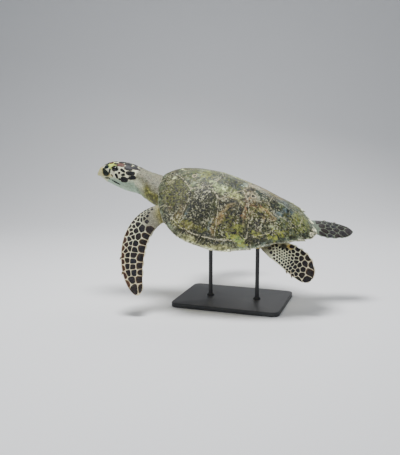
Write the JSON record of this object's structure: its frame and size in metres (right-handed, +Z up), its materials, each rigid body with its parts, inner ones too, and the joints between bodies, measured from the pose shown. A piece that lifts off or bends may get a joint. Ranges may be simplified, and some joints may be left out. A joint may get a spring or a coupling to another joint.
{
  "type": "hawksbill sea turtle model",
  "caption": "Life-size still model of a swimming hawksbill sea turtle with serrated shell and scaled flippers, banked on a plain display stand.",
  "frame": {"origin": "middle of the whole model's box, at the floor", "axes": "+Z up; the head points to -X, lifted and banked; the turtle's left side is toward -Y"},
  "size_m": [1.0068, 0.7086, 0.5567],
  "materials": {
    "shell": "keratin scutes, mottled olive, amber and blue-grey, growth rings, satin with thin algae",
    "plastron": "pale yellow keratin scutes with dark smudges, satin",
    "skin": "granular reptile skin, cream to grey, dark scales with pale borders on the head",
    "flipper": "near-black polygonal scales with cream borders, satin",
    "horn": "horny beak, dark with a cream edge, satin",
    "claw": "pale horn, satin",
    "eye": "dark wet eye, clear gloss",
    "stand": "satin black powder coat"
  },
  "bodies": {
    "root": {"carapace": "shell", "plastron": "plastron", "trunk": "skin", "neck": "skin", "tail": "skin", "head": "skin", "beak_upper": "horn", "beak_lower": "horn", "eye_left": "eye", "eye_right": "eye", "front_flipper_left": "flipper", "claw_front_left_1": "claw", "claw_front_left_2": "claw", "front_flipper_right": "flipper", "claw_front_right_1": "claw", "claw_front_right_2": "claw", "hind_flipper_left": "flipper", "claw_hind_left_1": "claw", "claw_hind_left_2": "claw", "hind_flipper_right": "flipper", "claw_hind_right_1": "claw", "claw_hind_right_2": "claw", "stand_base": "stand", "stand_rod_front": "stand", "stand_rod_rear": "stand"}
  },
  "joints": []
}
